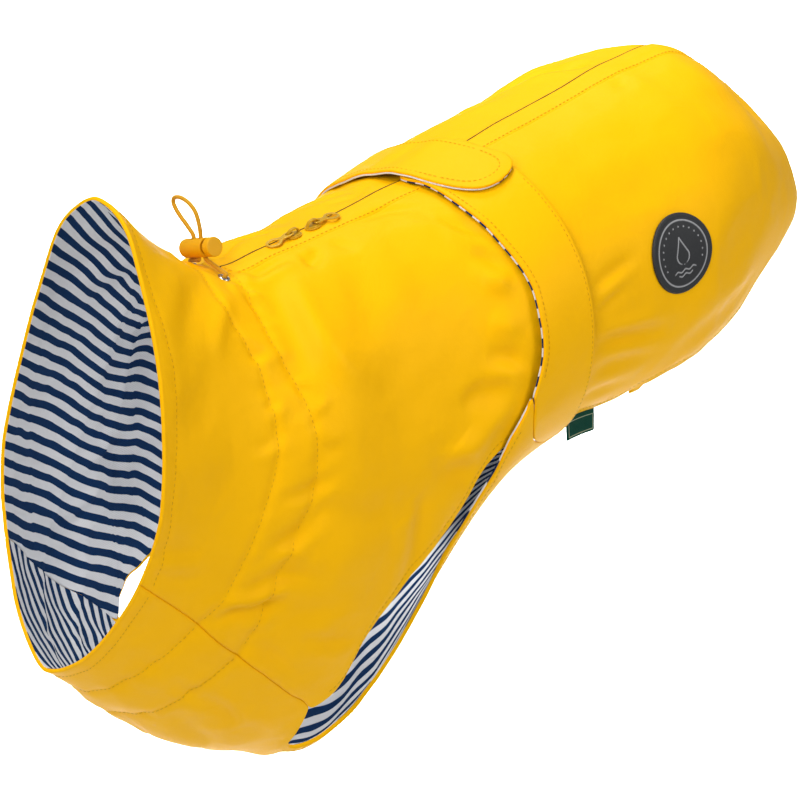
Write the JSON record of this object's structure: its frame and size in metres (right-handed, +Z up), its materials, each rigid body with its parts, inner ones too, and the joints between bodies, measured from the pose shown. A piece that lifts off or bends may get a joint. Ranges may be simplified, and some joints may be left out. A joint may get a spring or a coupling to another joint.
{
  "type": "dog raincoat, worn form with no wearer",
  "caption": "Yellow dog raincoat in its worn shape, striped lining, back zip, drawcord neck, chest bib and a belly band that closes over the back.",
  "frame": {"origin": "On the back line at the neck base, at the outer face of the cape, where the wearer's withers carry the coat", "axes": "+Z up, -Y towards the wearer's head, +X to the wearer's left"},
  "size_m": [0.2021, 0.5698, 0.3539],
  "materials": {
    "coated_cloth": "satin waterproof coating on woven cloth",
    "striped_lining": "matt cotton, navy and off-white stripes",
    "zip_metal": "yellow paint, satin",
    "nickel": "nickel plate",
    "lock_plastic": "moulded, fine satin",
    "cord": "braided elastic",
    "badge_rubber": "matt moulded rubber",
    "label_cloth": "woven satin"
  },
  "bodies": {
    "coat": {"cape_left": "coated_cloth", "cape_right": "coated_cloth", "cape_lining_left": "striped_lining", "cape_lining_right": "striped_lining", "chest_bib": "coated_cloth", "chest_bib_lining": "striped_lining", "band_wing_left": "coated_cloth", "band_wing_left_lining": "striped_lining", "band_wing_right": "coated_cloth", "band_wing_right_lining": "striped_lining", "zip_placket": "coated_cloth", "zip_slider_front": "zip_metal", "zip_slider_rear": "zip_metal", "eyelet_left": "nickel", "eyelet_right": "nickel", "cord_lock_barrel": "lock_plastic", "drawcord_leg_right": "cord", "drawcord_leg_left": "cord", "drawcord_loop": "cord", "badge": "badge_rubber", "side_label": "label_cloth", "hem_nub": "coated_cloth"},
    "pull_tab_front": {"pull_tab_front": "zip_metal"},
    "pull_tab_rear": {"pull_tab_rear": "zip_metal"},
    "cord_lock_plunger": {"cord_lock_plunger": "lock_plastic"}
  },
  "joints": [
    {"name": "pull_tab_front_hinge", "type": "hinge", "parent": "coat", "child": "pull_tab_front", "pos_m": [0.00235, 0.05814, 0.00472], "axis": [-0.9999, 0.0005, 0.0144], "range_deg": [0, 110]},
    {"name": "pull_tab_rear_hinge", "type": "hinge", "parent": "coat", "child": "pull_tab_rear", "pos_m": [0.00237, 0.0748, 0.00649], "axis": [0.9999, 0.0026, -0.0157], "range_deg": [0, 110]},
    {"name": "plunger_press", "type": "slide", "parent": "coat", "child": "cord_lock_plunger", "axis": [-0.9532, 0, -0.3024], "range_m": [0, 0.0018], "stiffness_N_per_m": 900}
  ]
}
